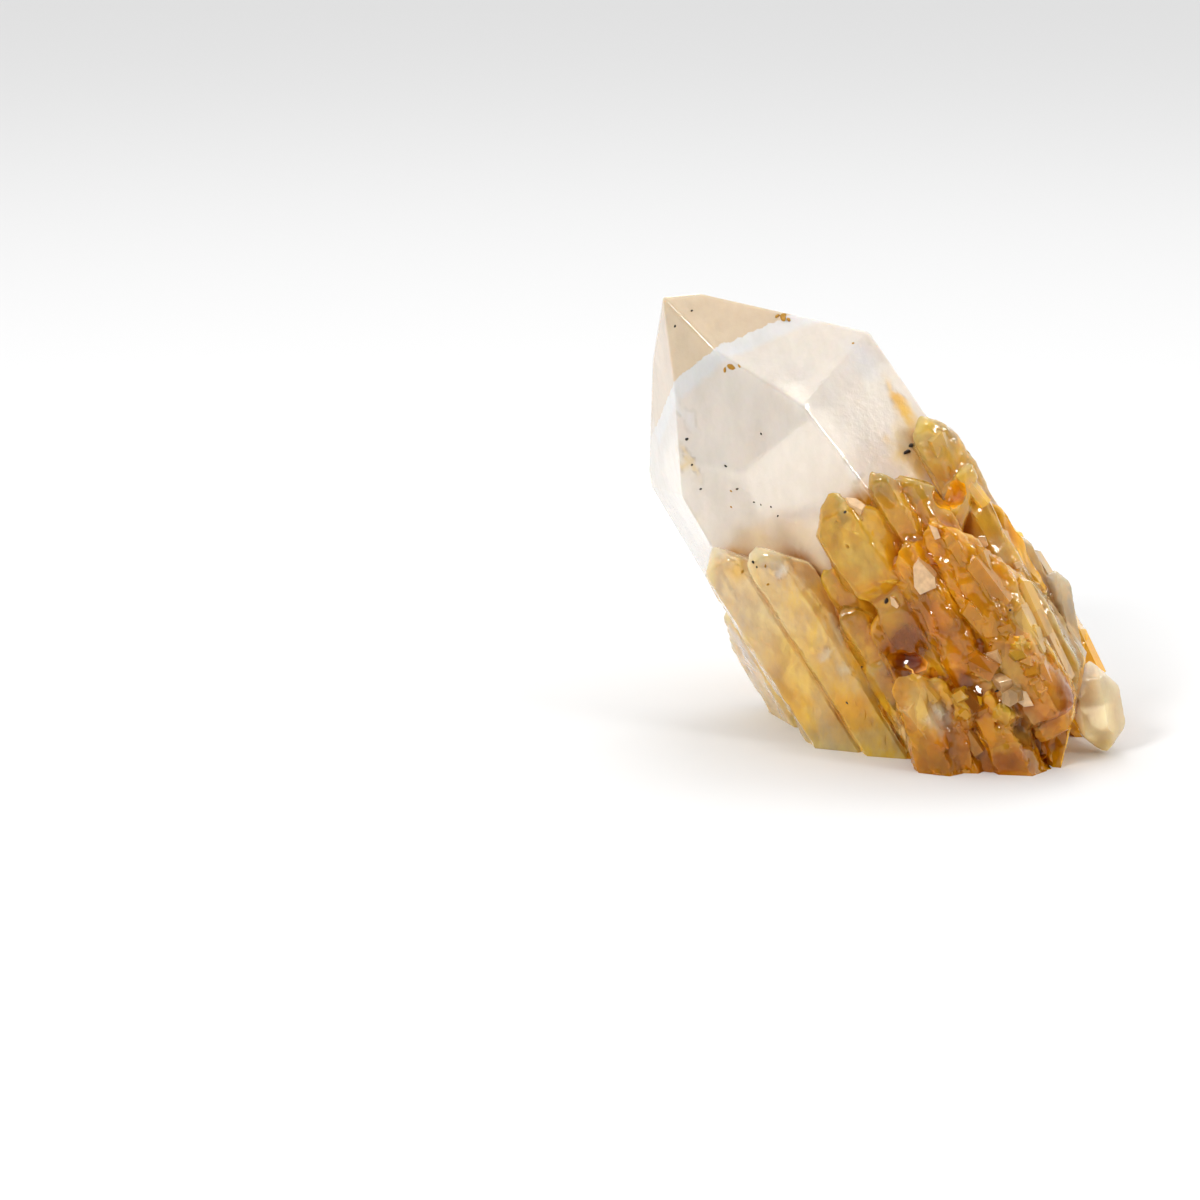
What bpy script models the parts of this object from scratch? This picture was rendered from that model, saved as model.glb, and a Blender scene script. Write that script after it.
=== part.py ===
# Pineapple quartz: one thick, clear quartz crystal that leans to the left, with its lower half
# clad in iron-stained side crystals that grew along it. All of it is one natural piece.
# X runs to the right, Y runs to the back, Z is up, and the stone rests on Z = 0.

import math
import random
from dataclasses import dataclass, replace

import bmesh
import bpy
from mathutils import Matrix, Vector

MM = 0.001

# The long crystal: a point on its axis, the way that the axis runs, the way that its front
# face looks, and how far below the heart it is broken off.
HEART = Vector((-15.7, 12.5, 37.7)) * MM
AXIS = Vector((-0.535, 0.085, 0.840)).normalized()
FRONT = Vector((-0.459, -0.865, -0.205))
ROOT_REACH = 52 * MM

# Faces of the long crystal: degrees around the axis from its front, degrees of tilt between
# the axis and the face's normal, and the distance from the heart.
PRISM_FACES = (
    (3, 91, 15.5 * MM),         # front
    (66.5, 85.5, 22.4 * MM),    # right
    (124.5, 88, 19.9 * MM),     # back right
    (183, 89, 17.0 * MM),       # back
    (-114.5, 88.5, 15.7 * MM),  # back left
    (-45, 88.5, 15.6 * MM),     # left
)
POINT_FACES = (
    (62.5, 65.5, 22.9 * MM),    # large top face
    (1.5, 77.5, 19.2 * MM),     # small front triangle
    (-43, 66.5, 15.7 * MM),     # narrow left face
    (145.5, 47, 15.9 * MM),     # back right
    (193, 41, 11.8 * MM),       # back
    (-94.5, 44, 17.4 * MM),     # back left
)
# The root is broken off on the right, in three uneven faces: a point on each, in millimetres,
# and the way that it looks.
BREAKS = (
    ((27.0, 0, 12), (0.97, -0.15, -0.20)),
    ((26.5, 8, 8), (0.88, 0.40, -0.25)),
    ((23.0, 24, 6), (0.60, 0.78, -0.20)),
)
BREAK_SIZE = 80 * MM

GROUND_SIZE = 200 * MM
# Corners closer together than this are one corner.
WELD = 0.005 * MM

# Quartz: the angle between the axis and the normal of a face of the point, and how much
# further out the three small faces of a point lie, as a share of the crystal's radius.
POINT_TILT = 51.8
SMALL_FACE_SHARE = 0.14
# Growth ledges: part of the way down, a side crystal is this much wider.
LEDGE_FROM = (0.25, 0.6)
LEDGE_PROUD = (0.2, 0.45)
LEDGE_SEED = 3
# A side face that looks back more than this is hidden in the stone.
HIDDEN_FROM = 0.6


@dataclass
class Side:
    """A side crystal: lengths in millimetres, angles in degrees."""
    tip: tuple
    radius: float
    length: float
    turn: float = 10      # about its own axis
    lean: float = 0       # to the right
    nod: float = 0        # to the front
    thick: float = 1.0    # from front to back, for its width
    right: float = 0.4    # how far its middle lies to the right of the tip
    back: float = 1.8     # and behind it
    sunk: float = 3.0     # how much further back its hidden faces lie
    two_ended: bool = False


BLADES = (
    Side((-24.9, -2.8, 28.3), 4.6, 37, turn=8, nod=2, thick=1.00, right=1.1, back=2.3),
    Side((-19.6, -6.5, 29.4), 4.0, 37, turn=14, nod=2, thick=1.00, right=1.0, back=2.2),
    Side((-22.7, 9.0, 16.4), 4.0, 24, turn=20, lean=1, right=2.8, back=1.0),
    Side((-12.9, -3.5, 7.0), 2.6, 12, turn=30, lean=4, right=0.8, back=1.6),
)
HONEY = (
    Side((-10.1, -13.5, 38.1), 5.1, 20, nod=4, thick=0.95, right=0.4, back=2.6, two_ended=True),
    Side((-7.0, -11.5, 33.0), 4.0, 32, turn=0, lean=2, thick=0.95, right=1.4, back=2.0),
    Side((-4.3, -13.0, 41.0), 2.4, 24, turn=20, lean=2, thick=1.10, back=1.2),
    Side((-0.6, -12.0, 40.4), 2.6, 30, turn=5, thick=1.10, right=0.6, back=1.2),
    Side((-10.0, -8.2, 26.6), 2.6, 28, turn=10, lean=1, right=1.0, back=1.8),
    Side((-7.6, -9.6, 21.6), 2.8, 24, turn=26, lean=2, nod=1, right=0.8, back=1.8),
)
UPPER_RIGHT = (
    Side((2.7, -5.0, 47.1), 3.0, 44, turn=12, lean=3, thick=1.20, right=0.0, back=2.0),
    Side((4.6, 2.0, 43.8), 3.0, 44, turn=24, lean=3, thick=1.10, right=-0.6, back=1.0),
    Side((7.8, -8.5, 40.8), 2.6, 42, turn=0, lean=3, thick=1.10, right=-1.4, back=2.0),
    Side((10.9, -6.0, 35.6), 3.2, 42, turn=18, lean=4, thick=1.10, right=-1.2, back=1.6),
    Side((16.2, -4.0, 30.3), 3.3, 38, turn=8, lean=8, thick=1.10, right=-1.8, back=1.6),
    Side((9.7, -10.0, 41.8), 1.6, 10, turn=0, lean=48, thick=1.20, right=-0.3, back=1.0),
)
AMBER = (
    Side((3.4, -15.5, 34.9), 3.6, 32, turn=16, lean=1, back=2.4),
    Side((7.6, -15.5, 31.8), 3.4, 30, turn=4, lean=3, nod=2, right=0.2, back=2.4),
    Side((-0.2, -16.0, 32.6), 3.2, 24, turn=22, lean=2, nod=2, right=-0.6, back=2.2),
    Side((11.6, -13.0, 29.2), 3.4, 34, turn=12, lean=9, nod=4, thick=1.05, back=2.4),
    Side((14.6, -9.5, 26.4), 3.4, 30, turn=26, lean=12, nod=4, thick=1.05, right=0.0, back=2.4),
    Side((5.0, -16.0, 24.0), 3.0, 20, turn=6, nod=3, back=2.0),
    Side((-3.0, -11.5, 22.0), 3.4, 24, turn=18, lean=3, nod=3, right=0.2, back=2.0),
)
RIGHT_FOOT = (
    Side((21.8, -4.0, 25.3), 1.9, 25, turn=15, lean=21, thick=1.30, right=-0.2, back=1.4),
    Side((21.0, -7.0, 16.0), 2.0, 16, turn=0, lean=14, thick=1.20, right=0.0, back=1.0),
    Side((24.0, -6.0, 13.8), 1.9, 14, turn=20, lean=18, thick=1.20, right=-0.4, back=1.0),
    Side((23.6, -8.0, 7.0), 2.2, 8, turn=25, lean=16, nod=4, thick=1.10, right=0.0, back=1.4),
)
# This one grew at the break, clear and pointed at both ends.
CLEAR_FOOT = Side((26.5, -8.0, 13.4), 3.0, 13.6, turn=10, lean=21, thick=1.05, right=0.2, back=1.2,
                  two_ended=True)
FRONT_FOOT = (
    Side((0.4, -17.6, 15.4), 3.3, 18, turn=6, lean=13, nod=8, thick=0.9, right=0.4, back=2.0),
    Side((4.6, -16.8, 13.9), 2.2, 18, turn=24, lean=13, nod=8, right=0.0, back=1.4),
    Side((5.1, -15.0, 15.9), 2.6, 18, turn=12, lean=8, nod=4, back=1.6),
    Side((9.7, -19.2, 17.8), 1.5, 5, turn=0, lean=28, right=0.0, back=1.1, two_ended=True),
    Side((9.6, -17.2, 12.6), 3.1, 16, turn=20, lean=6, nod=8),
    Side((12.0, -16.2, 10.5), 3.2, 14, turn=5, lean=10, nod=10),
    Side((16.6, -13.0, 12.6), 3.0, 15, turn=6, lean=12, nod=10),
    Side((19.4, -8.5, 12.6), 2.8, 15, turn=18, lean=14, nod=8),
    Side((19.6, -11.5, 9.4), 2.9, 11, turn=20, lean=14, nod=8),
    Side((1.6, -12.6, 8.0), 3.0, 14, turn=4, lean=8, nod=6),
    Side((-4.0, -8.0, 8.0), 3.2, 14, turn=12, lean=2, nod=2),
    Side((-9.0, -3.0, 5.5), 3.4, 12, turn=24, lean=6, nod=2, right=0.6),
)

# A nest of small broken crystals low on the front: its middle, how far it spreads, how many
# crystals it has, their radius and length, and how far they lean each way.
NEST_MIDDLE = Vector((12.8, -18.6, 14.4))
NEST_SPREAD = (4.2, 1.2, 4.2)
NEST_COUNT = 14
NEST_RADIUS = (1.1, 1.9)
NEST_LENGTH = (7, 9)
NEST_LEAN = 34
NEST_NOD = (35, 75)
NEST_SEED = 5

# Side crystals of the back: how many rings up the axis and how many in a ring, where the band
# starts and ends round the axis and along it, and how much each crystal may differ.
BACK_RINGS = 6
BACK_PER_RING = 9
BACK_TURNS = (112, 262)
BACK_HEIGHTS = (-46, -3)
BACK_RADIUS = (2.6, 4.2)
BACK_LENGTH = (15, 22)
BACK_PROUD = (0.8, 2.6)
BACK_TIP_SHIFT = 3
BACK_LEAN = 6
BACK_SEED = 17

# Hollows: the shell-shaped chip at the upper right and the dark pit low on the front.
# Middle in millimetres, then the half widths across X, Y and Z.
HOLLOWS = (
    ((6.4, -11.6, 37.2), (2.4, 3.6, 1.9)),
    ((0.8, -15.0, 14.4), (3.0, 3.6, 1.5)),
)


def across_axis():
    """Two directions square to the axis: towards the front, and a quarter turn on."""
    front = (FRONT - AXIS * FRONT.dot(AXIS)).normalized()
    return front, AXIS.cross(front)


def level_direction(turn):
    front, side = across_axis()
    around = math.radians(turn)
    return front * math.cos(around) + side * math.sin(around)


def cut_solid(middle, faces, reach):
    """A block about the middle, cut by planes given as (point, outward normal)."""
    mesh = bmesh.new()
    bmesh.ops.create_cube(mesh, size=2 * reach, matrix=Matrix.Translation(middle))
    for point, normal in faces:
        everything = mesh.verts[:] + mesh.edges[:] + mesh.faces[:]
        cut = bmesh.ops.bisect_plane(mesh, geom=everything, plane_co=point, plane_no=normal,
                                     clear_outer=True)
        rim = [part for part in cut["geom_cut"] if isinstance(part, bmesh.types.BMEdge)]
        if rim:
            bmesh.ops.contextual_create(mesh, geom=rim)
    bmesh.ops.dissolve_degenerate(mesh, dist=0.01 * MM, edges=mesh.edges[:])
    bmesh.ops.recalc_face_normals(mesh, faces=mesh.faces[:])
    return mesh


def to_object(mesh, name):
    data = bpy.data.meshes.new(name)
    mesh.to_mesh(data)
    mesh.free()
    return bpy.data.objects.new(name, data)


def long_crystal():
    planes = [(HEART - AXIS * ROOT_REACH, -AXIS)]
    for turn, tilt, distance in PRISM_FACES + POINT_FACES:
        down = math.radians(tilt)
        normal = level_direction(turn) * math.sin(down) + AXIS * math.cos(down)
        planes.append((HEART + normal * distance, normal))
    return to_object(cut_solid(HEART, planes, 90 * MM), "quartz_cluster")


def point_faces(tip, axis, sides, radius):
    """The six sloping faces that meet at a tip: three large ones, and three set further out."""
    down = math.radians(POINT_TILT)
    faces = []
    for count, level in enumerate(sides):
        normal = level * math.sin(down) + axis * math.cos(down)
        out = SMALL_FACE_SHARE * radius if count % 2 else 0
        faces.append((tip + normal * out, normal))
    return faces


def side_crystal(side):
    tip = Vector(side.tip) * MM
    radius = side.radius * MM
    length = side.length * MM
    axis = axis_of(side)
    to_back = (Vector((0, 1, 0)) - axis * axis.y).normalized()
    to_right = to_back.cross(axis).normalized()
    middle = tip + (to_right * side.right + to_back * side.back) * MM
    planes = []
    sides = []
    for count in range(6):
        around = math.radians(side.turn + 60 * count)
        level = to_right * math.cos(around) + to_back * math.sin(around)
        reach = radius * math.hypot(math.cos(around), side.thick * math.sin(around))
        if level.dot(to_back) > HIDDEN_FROM:
            reach += side.sunk * MM
        planes.append((middle + level * reach, level))
        sides.append(level)
    planes += point_faces(tip, axis, sides, radius)
    if side.two_ended:
        planes += point_faces(middle - axis * length, -axis, sides, radius)
    else:
        planes.append((tip - axis * length, -axis))
    return cut_solid(tip - axis * length / 2, planes, length + radius)


def axis_of(side):
    lean = Matrix.Rotation(math.radians(side.lean), 3, "Y")
    nod = Matrix.Rotation(math.radians(side.nod), 3, "X")
    return lean @ nod @ AXIS


def ledges(sides):
    """A wider copy of each crystal that starts lower down, so that its sides have a ledge."""
    picks = random.Random(LEDGE_SEED)
    wider = []
    for side in sides:
        down = side.length * picks.uniform(*LEDGE_FROM)
        tip = Vector(side.tip) - axis_of(side) * down
        wider.append(replace(side, tip=tuple(tip), length=side.length - down,
                             radius=side.radius + picks.uniform(*LEDGE_PROUD)))
    return wider


def nest():
    picks = random.Random(NEST_SEED)
    sides = []
    for count in range(NEST_COUNT):
        shift = Vector([picks.uniform(-spread, spread) for spread in NEST_SPREAD])
        sides.append(Side(tuple(NEST_MIDDLE + shift), picks.uniform(*NEST_RADIUS),
                          picks.uniform(*NEST_LENGTH), turn=picks.uniform(0, 60),
                          lean=picks.uniform(-NEST_LEAN, NEST_LEAN) + NEST_LEAN / 2,
                          nod=picks.uniform(*NEST_NOD), right=0.0, back=0.3, sunk=0.0))
    return sides


def skin_distance(around):
    """How far the long crystal's sides lie from its axis, in millimetres."""
    reaches = []
    for turn, tilt, distance in PRISM_FACES:
        facing = math.cos(math.radians(around - turn))
        if facing > 0.3:
            reaches.append(distance / facing / MM)
    return min(reaches)


def back_cover():
    """Crystals that clad the back, in staggered rings."""
    picks = random.Random(BACK_SEED)
    first, last = BACK_TURNS
    low, high = BACK_HEIGHTS
    sides = []
    for ring in range(BACK_RINGS):
        for place in range(BACK_PER_RING):
            step = place + 0.5 * (ring % 2) + picks.uniform(-0.2, 0.2)
            around = first + (last - first) * step / (BACK_PER_RING - 0.5)
            radius = picks.uniform(*BACK_RADIUS)
            out = skin_distance(around) + picks.uniform(*BACK_PROUD) - radius
            up = low + (high - low) * (ring + 0.5) / BACK_RINGS
            up += picks.uniform(-BACK_TIP_SHIFT, BACK_TIP_SHIFT)
            tip = HEART / MM + level_direction(around) * out + AXIS * up
            sides.append(Side(tuple(tip), radius, picks.uniform(*BACK_LENGTH),
                              turn=picks.uniform(0, 60),
                              lean=picks.uniform(-BACK_LEAN, BACK_LEAN),
                              nod=picks.uniform(-BACK_LEAN, BACK_LEAN),
                              thick=picks.uniform(0.9, 1.2), right=0.0, back=0.0, sunk=0.0))
    return sides


def hollow(middle, half_widths):
    mesh = bmesh.new()
    size = Matrix.Diagonal(Vector(half_widths) * MM).to_4x4()
    place = Matrix.Translation(Vector(middle) * MM)
    bmesh.ops.create_icosphere(mesh, subdivisions=2, radius=1.0, matrix=place @ size)
    return mesh


def block_beyond(point, normal, size):
    """A block whose near face holds the point and looks back at the stone."""
    turn = Vector(normal).to_track_quat("Z", "Y").to_matrix().to_4x4()
    place = Matrix.Translation(Vector(point) * MM) @ turn @ Matrix.Translation((0, 0, size / 2))
    mesh = bmesh.new()
    bmesh.ops.create_cube(mesh, size=size, matrix=place)
    return mesh


def quartz_material():
    quartz = bpy.data.materials.new("iron_stained_quartz")
    quartz.use_nodes = True
    shader = quartz.node_tree.nodes["Principled BSDF"]
    shader.inputs["Base Color"].default_value = (0.80, 0.62, 0.34, 1)
    shader.inputs["Roughness"].default_value = 0.15
    shader.inputs["Metallic"].default_value = 0.0
    shader.inputs["Transmission Weight"].default_value = 0.7
    shader.inputs["IOR"].default_value = 1.544
    return quartz


def guides(name, meshes):
    """A collection of hidden shapes that another shape is joined with or cut by."""
    group = bpy.data.collections.new(name)
    bpy.context.scene.collection.children.link(group)
    for number, mesh in enumerate(meshes):
        guide = to_object(mesh, f"{name}_{number:02d}")
        guide.hide_render = True
        guide.display_type = "WIRE"
        group.objects.link(guide)
    return group


def combine(thing, operation, group):
    step = thing.modifiers.new(group.name, "BOOLEAN")
    step.operation = operation
    step.operand_type = "COLLECTION"
    step.collection = group
    step.solver = "EXACT"


def shells_of(mesh):
    """The separate closed skins of a mesh, the one with the most corners first."""
    left = set(mesh.verts)
    shells = []
    while left:
        shell = {left.pop()}
        edge_of_shell = list(shell)
        while edge_of_shell:
            corner = edge_of_shell.pop()
            near = {edge.other_vert(corner) for edge in corner.link_edges} & left
            left -= near
            shell |= near
            edge_of_shell.extend(near)
        shells.append(shell)
    return sorted(shells, key=len, reverse=True)


def stand_over_origin(mesh):
    """Moves the stone over the ground until the middle of its outline is over the origin."""
    across = [corner.co.x for corner in mesh.verts]
    deep = [corner.co.y for corner in mesh.verts]
    middle = Vector((min(across) + max(across), min(deep) + max(deep), 0)) / 2
    bmesh.ops.translate(mesh, verts=mesh.verts[:], vec=-middle)


def grow_solid(thing):
    """Makes the joined shape the thing's own, with the pockets between crystals grown shut."""
    depsgraph = bpy.context.evaluated_depsgraph_get()
    data = bpy.data.meshes.new_from_object(thing.evaluated_get(depsgraph))
    mesh = bmesh.new()
    mesh.from_mesh(data)
    for pocket in shells_of(mesh)[1:]:
        bmesh.ops.delete(mesh, geom=list(pocket), context="VERTS")
    bmesh.ops.remove_doubles(mesh, verts=mesh.verts[:], dist=WELD)
    bmesh.ops.dissolve_degenerate(mesh, dist=WELD, edges=mesh.edges[:])
    bmesh.ops.triangulate(mesh, faces=mesh.faces[:])
    stand_over_origin(mesh)
    mesh.to_mesh(data)
    mesh.free()
    thing.modifiers.clear()
    thing.data = data


def main():
    for old in list(bpy.data.objects):
        bpy.data.objects.remove(old, do_unlink=True)

    cluster = long_crystal()
    bpy.context.scene.collection.objects.link(cluster)
    cluster.data.materials.append(quartz_material())

    stepped = [*HONEY, *UPPER_RIGHT, *AMBER, *RIGHT_FOOT, *FRONT_FOOT, *back_cover()]
    sides = [*BLADES, *stepped, *nest()]
    sides += ledges([side for side in stepped if not side.two_ended])
    combine(cluster, "UNION", guides("side_crystals", [side_crystal(side) for side in sides]))
    for number, (point, normal) in enumerate(BREAKS):
        beyond = [block_beyond(point, normal, BREAK_SIZE)]
        combine(cluster, "DIFFERENCE", guides(f"break_{number}", beyond))
    combine(cluster, "UNION", guides("clear_foot", [side_crystal(CLEAR_FOOT)]))
    cuts = [hollow(middle, half_widths) for middle, half_widths in HOLLOWS]
    cuts.append(block_beyond((0, 0, 0), (0, 0, -1), GROUND_SIZE))
    combine(cluster, "DIFFERENCE", guides("hollows_and_ground", cuts))
    grow_solid(cluster)


main()
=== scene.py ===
import math
import random
import bmesh
import bpy
import numpy as np
from mathutils import Matrix, Vector, noise
from mathutils.bvhtree import BVHTree


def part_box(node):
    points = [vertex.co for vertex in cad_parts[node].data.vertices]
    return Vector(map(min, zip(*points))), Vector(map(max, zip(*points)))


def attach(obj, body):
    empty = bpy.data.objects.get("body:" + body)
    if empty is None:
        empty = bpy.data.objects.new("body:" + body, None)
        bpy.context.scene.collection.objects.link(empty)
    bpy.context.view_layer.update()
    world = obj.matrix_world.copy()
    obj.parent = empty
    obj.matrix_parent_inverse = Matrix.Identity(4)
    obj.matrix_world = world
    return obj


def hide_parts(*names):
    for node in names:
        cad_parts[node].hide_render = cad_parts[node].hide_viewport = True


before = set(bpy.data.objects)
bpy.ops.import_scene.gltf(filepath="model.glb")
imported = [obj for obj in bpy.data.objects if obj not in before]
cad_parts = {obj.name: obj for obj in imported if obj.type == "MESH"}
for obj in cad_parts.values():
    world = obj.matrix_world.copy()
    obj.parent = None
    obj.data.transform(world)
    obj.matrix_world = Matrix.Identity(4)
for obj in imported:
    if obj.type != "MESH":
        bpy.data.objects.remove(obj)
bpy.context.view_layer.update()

mm = 0.001
stoneNode = "quartz_cluster"

# Where the photograph was taken from, and its frame. Lengths are metres here, millimetres below.
photoView = {
    "place": Vector((-39.57, -454.56, 131.51)) * mm,
    "down": 14.0,        # degrees below level
    "lens": 100.0,       # mm, on a 36 mm sensor
    "sensor": 36.0,
    "frame": 1200,       # pixels each way
}

# The thick clear crystal. Its faces are a turn round the axis from the front, a tilt from the
# axis and a distance from the heart.
clearPoint = {
    "heart": Vector((-14.945, 6.1, 37.7)),
    "axis": Vector((-0.535, 0.085, 0.840)).normalized(),
    "front": Vector((-0.459, -0.865, -0.205)),
    "prism": ((3, 91, 15.5), (66.5, 85.5, 22.4), (124.5, 88, 19.9), (183, 89, 17.0), (-114.5, 88.5, 15.7),
              (-45, 88.5, 15.6)),
    "point": ((62.5, 65.5, 22.9), (1.5, 77.5, 19.2), (-43, 66.5, 15.7), (145.5, 47, 15.9), (193, 41, 11.8),
              (-94.5, 44, 17.4)),
    "edgeRound": 0.28,
}
growthAxis = clearPoint["axis"]
standShift = Vector((0.755, -6.4, 0))   # from where the side crystals were measured to where the stone stands

# Side crystals, by their looks: tip, radius, length, then what differs from sideHabit.
sideHabit = {"turn": 10, "lean": 0, "nod": 0, "thick": 1.0, "right": 0.4, "back": 1.8, "sunk": 3.0, "twoEnds": False,
             "pointTilt": 51.8, "smallFace": 0.14, "hidden": 0.6}
sideCrystals = {
    "blade": (
        ((-24.9, -2.8, 28.3), 4.6, 37, dict(turn=8, nod=2, thick=1.00, right=1.1, back=2.3)),
        ((-19.6, -6.5, 29.4), 4.0, 37, dict(turn=14, nod=2, thick=1.00, right=1.0, back=2.2)),
        ((-22.7, 9.0, 16.4), 4.0, 24, dict(turn=20, lean=1, right=2.8, back=1.0)),
        ((-12.9, -3.5, 7.0), 2.6, 12, dict(turn=30, lean=4, right=0.8, back=1.6)),
    ),
    "honey": (
        ((-10.1, -13.5, 38.1), 5.1, 20, dict(nod=4, thick=0.95, right=0.4, back=2.6, twoEnds=True)),
        ((-7.0, -11.5, 33.0), 4.0, 32, dict(turn=0, lean=2, thick=0.95, right=1.4, back=2.0)),
        ((-4.3, -13.0, 41.0), 2.4, 24, dict(turn=20, lean=2, thick=1.10, back=1.2)),
        ((-0.6, -12.0, 40.4), 2.6, 30, dict(turn=5, thick=1.10, right=0.6, back=1.2)),
        ((-10.0, -8.2, 26.6), 2.6, 28, dict(turn=10, lean=1, right=1.0, back=1.8)),
        ((-7.6, -9.6, 21.6), 2.8, 24, dict(turn=26, lean=2, nod=1, right=0.8, back=1.8)),
    ),
    "straw": (
        ((2.7, -5.0, 47.1), 3.0, 44, dict(turn=12, lean=3, thick=1.20, right=0.0, back=2.0)),
        ((4.6, 2.0, 43.8), 3.0, 44, dict(turn=24, lean=3, thick=1.10, right=-0.6, back=1.0)),
        ((7.8, -8.5, 40.8), 2.6, 42, dict(turn=0, lean=3, thick=1.10, right=-1.4, back=2.0)),
        ((10.9, -6.0, 35.6), 3.2, 42, dict(turn=18, lean=4, thick=1.10, right=-1.2, back=1.6)),
        ((16.2, -4.0, 30.3), 3.3, 38, dict(turn=8, lean=8, thick=1.10, right=-1.8, back=1.6)),
        ((9.7, -10.0, 41.8), 1.6, 10, dict(turn=0, lean=48, thick=1.20, right=-0.3, back=1.0)),
    ),
    "amber": (
        ((3.4, -15.5, 34.9), 3.6, 32, dict(turn=16, lean=1, back=2.4)),
        ((7.6, -15.5, 31.8), 3.4, 30, dict(turn=4, lean=3, nod=2, right=0.2, back=2.4)),
        ((-0.2, -16.0, 32.6), 3.2, 24, dict(turn=22, lean=2, nod=2, right=-0.6, back=2.2)),
        ((11.6, -13.0, 29.2), 3.4, 34, dict(turn=12, lean=9, nod=4, thick=1.05, back=2.4)),
        ((14.6, -9.5, 26.4), 3.4, 30, dict(turn=26, lean=12, nod=4, thick=1.05, right=0.0, back=2.4)),
        ((5.0, -16.0, 24.0), 3.0, 20, dict(turn=6, nod=3, back=2.0)),
        ((-3.0, -11.5, 22.0), 3.4, 24, dict(turn=18, lean=3, nod=3, right=0.2, back=2.0)),
    ),
    "slim": (
        ((21.8, -4.0, 25.3), 1.9, 25, dict(turn=15, lean=21, thick=1.30, right=-0.2, back=1.4)),
        ((21.0, -7.0, 16.0), 2.0, 16, dict(turn=0, lean=14, thick=1.20, right=0.0, back=1.0)),
        ((24.0, -6.0, 13.8), 1.9, 14, dict(turn=20, lean=18, thick=1.20, right=-0.4, back=1.0)),
        ((23.6, -8.0, 7.0), 2.2, 8, dict(turn=25, lean=16, nod=4, thick=1.10, right=0.0, back=1.4)),
    ),
    "foot": (
        ((0.4, -17.6, 15.4), 3.3, 18, dict(turn=6, lean=13, nod=8, thick=0.9, right=0.4, back=2.0)),
        ((4.6, -16.8, 13.9), 2.2, 18, dict(turn=24, lean=13, nod=8, right=0.0, back=1.4)),
        ((5.1, -15.0, 15.9), 2.6, 18, dict(turn=12, lean=8, nod=4, back=1.6)),
        ((9.7, -19.2, 17.8), 1.5, 5, dict(turn=0, lean=28, right=0.0, back=1.1, twoEnds=True)),
        ((9.6, -17.2, 12.6), 3.1, 16, dict(turn=20, lean=6, nod=8)),
        ((12.0, -16.2, 10.5), 3.2, 14, dict(turn=5, lean=10, nod=10)),
        ((16.6, -13.0, 12.6), 3.0, 15, dict(turn=6, lean=12, nod=10)),
        ((19.4, -8.5, 12.6), 2.8, 15, dict(turn=18, lean=14, nod=8)),
        ((19.6, -11.5, 9.4), 2.9, 11, dict(turn=20, lean=14, nod=8)),
        ((1.6, -12.6, 8.0), 3.0, 14, dict(turn=4, lean=8, nod=6)),
        ((-4.0, -8.0, 8.0), 3.2, 14, dict(turn=12, lean=2, nod=2)),
        ((-9.0, -3.0, 5.5), 3.4, 12, dict(turn=24, lean=6, nod=2, right=0.6)),
    ),
    "glassy": (
        ((26.5, -8.0, 13.4), 3.0, 13.6, dict(turn=10, lean=21, thick=1.05, right=0.2, back=1.2, twoEnds=True)),
    ),
}
ledgeHabit = {"from": (0.25, 0.6), "proud": (0.2, 0.45), "seed": 3}
nestHabit = {"middle": (12.8, -18.6, 14.4), "spread": (4.2, 1.2, 4.2), "count": 14, "radius": (1.1, 1.9),
             "length": (7, 9), "lean": 34, "nod": (35, 75), "seed": 5}
backHabit = {"rings": 6, "perRing": 9, "turns": (112, 262), "heights": (-46, -3), "radius": (2.6, 4.2),
             "length": (15, 22), "proud": (0.8, 2.6), "tipShift": 3, "lean": 6, "seed": 17}


def linearColour(hexText):
    channels = [int(hexText[i:i + 2], 16) / 255 for i in (1, 3, 5)]
    return tuple(c / 12.92 if c <= 0.04045 else ((c + 0.055) / 1.055) ** 2.4 for c in channels) + (1.0,)


def addNode(tree, kind, settings=None, values=None, links=None):
    node = tree.nodes.new(kind)
    for name, value in (settings or {}).items():
        setattr(node, name, value)
    for socket, value in (values or {}).items():
        node.inputs[socket].default_value = value
    for socket, source in (links or {}).items():
        tree.links.new(source, node.inputs[socket])
    return node


def freshMaterial(name):
    material = bpy.data.materials.new(name)
    material.use_nodes = True
    material.node_tree.nodes.clear()
    return material, material.node_tree


def addPiece(name, data, material):
    piece = bpy.data.objects.new(name, data)
    bpy.context.scene.collection.objects.link(piece)
    data.materials.append(material)
    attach(piece, "root")
    return piece


# Which way a level direction at this turn round the growth axis looks
def levelWay(turn):
    front = clearPoint["front"] - growthAxis * clearPoint["front"].dot(growthAxis)
    side = growthAxis.cross(front)
    return (front * math.cos(math.radians(turn)) + side * math.sin(math.radians(turn))).normalized()


def leaningAxis(own):
    lean = Matrix.Rotation(math.radians(own.get("lean", 0)), 3, "Y")
    return lean @ Matrix.Rotation(math.radians(own.get("nod", 0)), 3, "X") @ growthAxis


def clearFaces():
    faces = []
    for turn, tilt, distance in clearPoint["prism"] + clearPoint["point"]:
        way = levelWay(turn) * math.sin(math.radians(tilt)) + growthAxis * math.cos(math.radians(tilt))
        faces.append((clearPoint["heart"] + way * distance, way))
    return faces


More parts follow.
